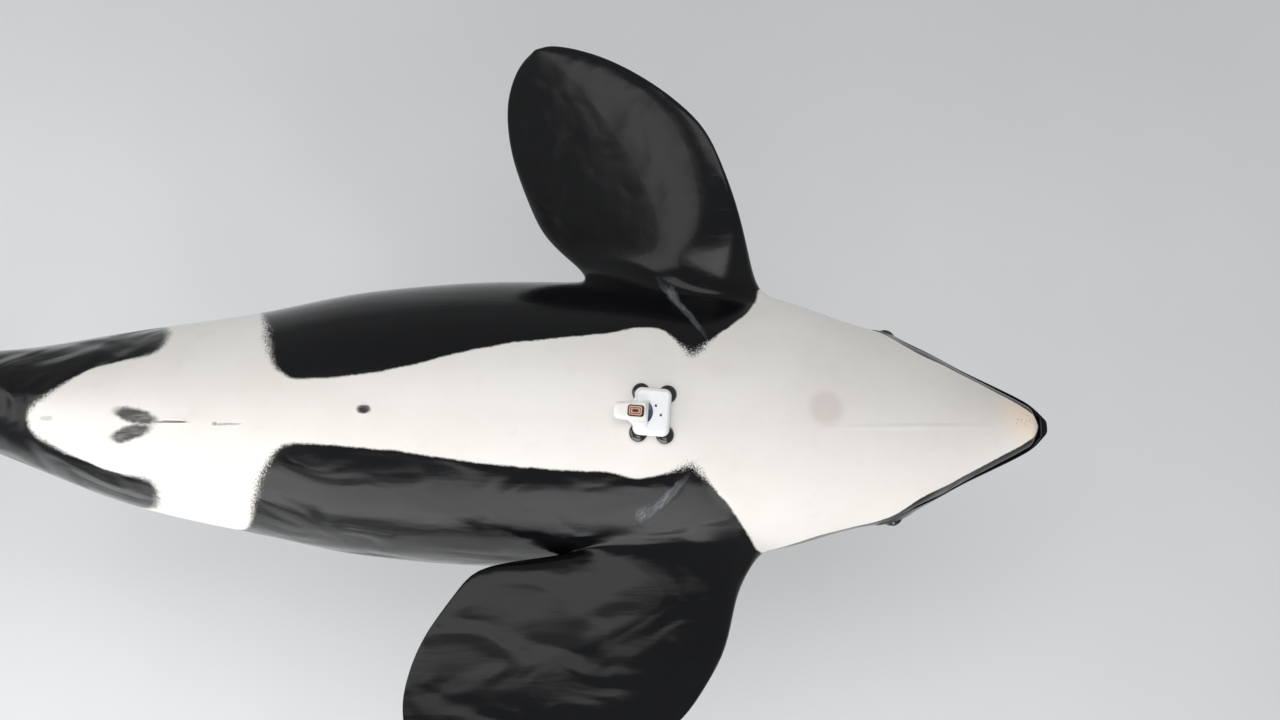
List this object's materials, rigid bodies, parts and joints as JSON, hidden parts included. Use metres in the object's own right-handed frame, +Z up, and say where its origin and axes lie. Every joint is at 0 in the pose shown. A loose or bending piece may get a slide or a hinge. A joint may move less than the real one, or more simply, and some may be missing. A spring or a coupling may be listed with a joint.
{
  "type": "orca model",
  "caption": "Life-size orca floating on its back, belly up, with broad flippers, a chest logger on suction cups, and a display stand.",
  "frame": {"origin": "middle of the underside of the stand's base", "axes": "+Z up, +X towards the snout along the body, +Y to the animal's right side; the belly faces up"},
  "size_m": [5.6137, 2.7349, 2.1752],
  "materials": {
    "skin_black": "wet, smooth black skin",
    "skin_white": "wet, smooth off-white skin",
    "eye": "wet dark brown eye",
    "tag_white": "satin white moulded plastic",
    "tag_rubber": "black rubber",
    "tag_copper": "brushed copper colour",
    "tag_blue": "dark blue gloss plastic",
    "stand_paint": "satin grey paint"
  },
  "bodies": {
    "root": {"head": "skin_black", "lower_jaw": "skin_white", "eye_right": "eye", "eye_left": "eye", "neck": "skin_white", "torso_chest": "skin_white", "torso_belly": "skin_black", "torso_rump": "skin_white", "tail_stock": "skin_black", "flipper_right": "skin_black", "flipper_left": "skin_black", "dorsal_fin": "skin_black", "fluke_right": "skin_black", "fluke_left": "skin_black", "tag_housing": "tag_white", "tag_pod": "tag_white", "tag_crescent": "tag_blue", "tag_window_rim": "tag_rubber", "tag_window": "tag_copper", "tag_button_1": "tag_rubber", "tag_button_2": "tag_rubber", "tag_cup_1": "tag_rubber", "tag_cup_2": "tag_rubber", "tag_cup_3": "tag_rubber", "tag_cup_4": "tag_rubber", "stand_base": "stand_paint", "stand_foot_front": "stand_paint", "stand_foot_rear": "stand_paint", "stand_rod_front": "stand_paint", "stand_rod_rear": "stand_paint"}
  },
  "joints": []
}
